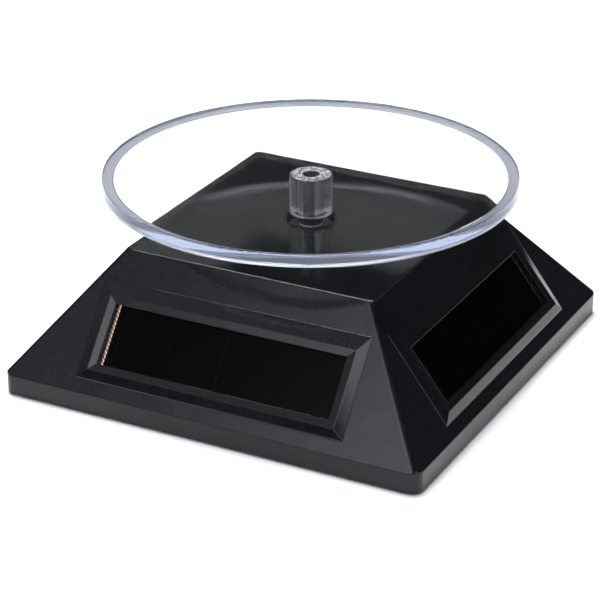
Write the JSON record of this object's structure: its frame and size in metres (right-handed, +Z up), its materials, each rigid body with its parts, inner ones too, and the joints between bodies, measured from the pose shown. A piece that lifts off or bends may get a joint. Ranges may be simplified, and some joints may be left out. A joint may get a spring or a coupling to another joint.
{
  "type": "turntable display stand",
  "caption": "Square pyramid stand with a solar cell in each sloping side and a clear round disc that a geared motor turns on a central spindle.",
  "frame": {"origin": "centre of the square base, on the surface the rubber feet stand on", "axes": "+Z up along the disc's axis of rotation, -Y towards the front, +X to the right"},
  "size_m": [0.102, 0.102, 0.045],
  "materials": {
    "housing_black": "glossy black ABS, moulded",
    "base_black": "fine-textured black ABS",
    "foot_rubber": "soft black rubber",
    "clear_plastic": "polished clear polystyrene",
    "clear_bond": "milky set adhesive",
    "spindle_black": "black acetal, moulded",
    "white_acetal": "natural white acetal",
    "steel": "plain steel",
    "zinc_steel": "zinc-plated steel",
    "bronze": "sintered bronze",
    "brass": "brass",
    "copper": "copper foil",
    "copper_wire": "enamelled copper wire",
    "ferrite": "ferrite magnet, matt",
    "motor_white": "white nylon",
    "board_green": "green solder mask",
    "capacitor_sleeve": "dark blue sleeve",
    "diode_black": "black moulded body",
    "red_lead": "red PVC insulation",
    "black_lead": "black PVC insulation",
    "cell_glass": "glass over amorphous silicon, near black",
    "glue": "milky hot-melt",
    "contact_metal": "nickel-plated spring steel"
  },
  "bodies": {
    "base": {"upper_housing": "housing_black", "base_plate": "base_black", "rubber_feet": "foot_rubber", "base_screws": "zinc_steel", "thrust_washer": "white_acetal", "spindle_bush": "bronze", "second_gear_axle": "steel", "first_gear_axle": "steel", "gearbox_case": "base_black", "gearbox_cover": "base_black", "gearbox_screws": "zinc_steel", "motor_can": "zinc_steel", "motor_end_cap": "motor_white", "motor_bush": "bronze", "motor_magnets": "ferrite", "motor_brushes": "copper", "motor_screws": "zinc_steel", "contact_plate": "contact_metal", "contact_spring": "contact_metal", "circuit_board": "board_green", "board_screws": "zinc_steel", "switch_body": "contact_metal", "capacitor": "capacitor_sleeve", "diode": "diode_black", "corner_leads": "black_lead", "board_leads": "red_lead", "motor_leads": "red_lead", "battery_leads": "black_lead", "solar_cell_front": "cell_glass", "solar_cell_right": "cell_glass", "solar_cell_back": "cell_glass", "solar_cell_left": "cell_glass", "glue_beads_front": "glue", "glue_beads_right": "glue", "glue_beads_back": "glue", "glue_beads_left": "glue", "bus_strips": "copper"},
    "spindle": {"drive_spindle": "spindle_black", "output_gear": "white_acetal"},
    "disc": {"turntable_disc": "clear_plastic", "hub_tube": "clear_plastic", "hub_bond": "clear_bond"},
    "second_gear_body": {"second_gear": "white_acetal"},
    "first_gear_body": {"first_gear": "white_acetal"},
    "rotor": {"motor_shaft": "steel", "motor_pinion": "brass", "armature_core": "steel", "armature_windings": "copper_wire", "commutator": "copper"},
    "battery_door_body": {"battery_door": "base_black"},
    "switch_knob_body": {"switch_knob": "base_black"}
  },
  "joints": [
    {"name": "turntable_spin", "type": "hinge", "parent": "base", "child": "spindle", "pos_m": [0, 0, 0], "axis": [0, 0, 1], "continuous": true},
    {"name": "disc_lift", "type": "slide", "parent": "spindle", "child": "disc", "axis": [0, 0, 1], "range_m": [0, 0.01]},
    {"name": "second_gear_spin", "type": "hinge", "parent": "base", "child": "second_gear_body", "pos_m": [-0.01215, 0, 0], "axis": [0, 0, 1], "continuous": true},
    {"name": "first_gear_spin", "type": "hinge", "parent": "base", "child": "first_gear_body", "pos_m": [-0.00901, -0.01174, 0], "axis": [0, 0, 1], "continuous": true},
    {"name": "motor_spin", "type": "hinge", "parent": "base", "child": "rotor", "pos_m": [0.00273, -0.01488, 0], "axis": [0, 0, 1], "continuous": true},
    {"name": "battery_door_hinge", "type": "hinge", "parent": "base", "child": "battery_door_body", "pos_m": [0.0295, 0.0275, 0.0016], "axis": [0, -1, 0], "range_deg": [0, 75]},
    {"name": "switch_slide", "type": "slide", "parent": "base", "child": "switch_knob_body", "axis": [1, 0, 0], "range_m": [0, 0.002]}
  ],
  "couplings": [
    {"joint": "second_gear_spin", "follows": "turntable_spin", "ratio": -3.5},
    {"joint": "first_gear_spin", "follows": "turntable_spin", "ratio": 12.25},
    {"joint": "motor_spin", "follows": "turntable_spin", "ratio": -42.875}
  ]
}
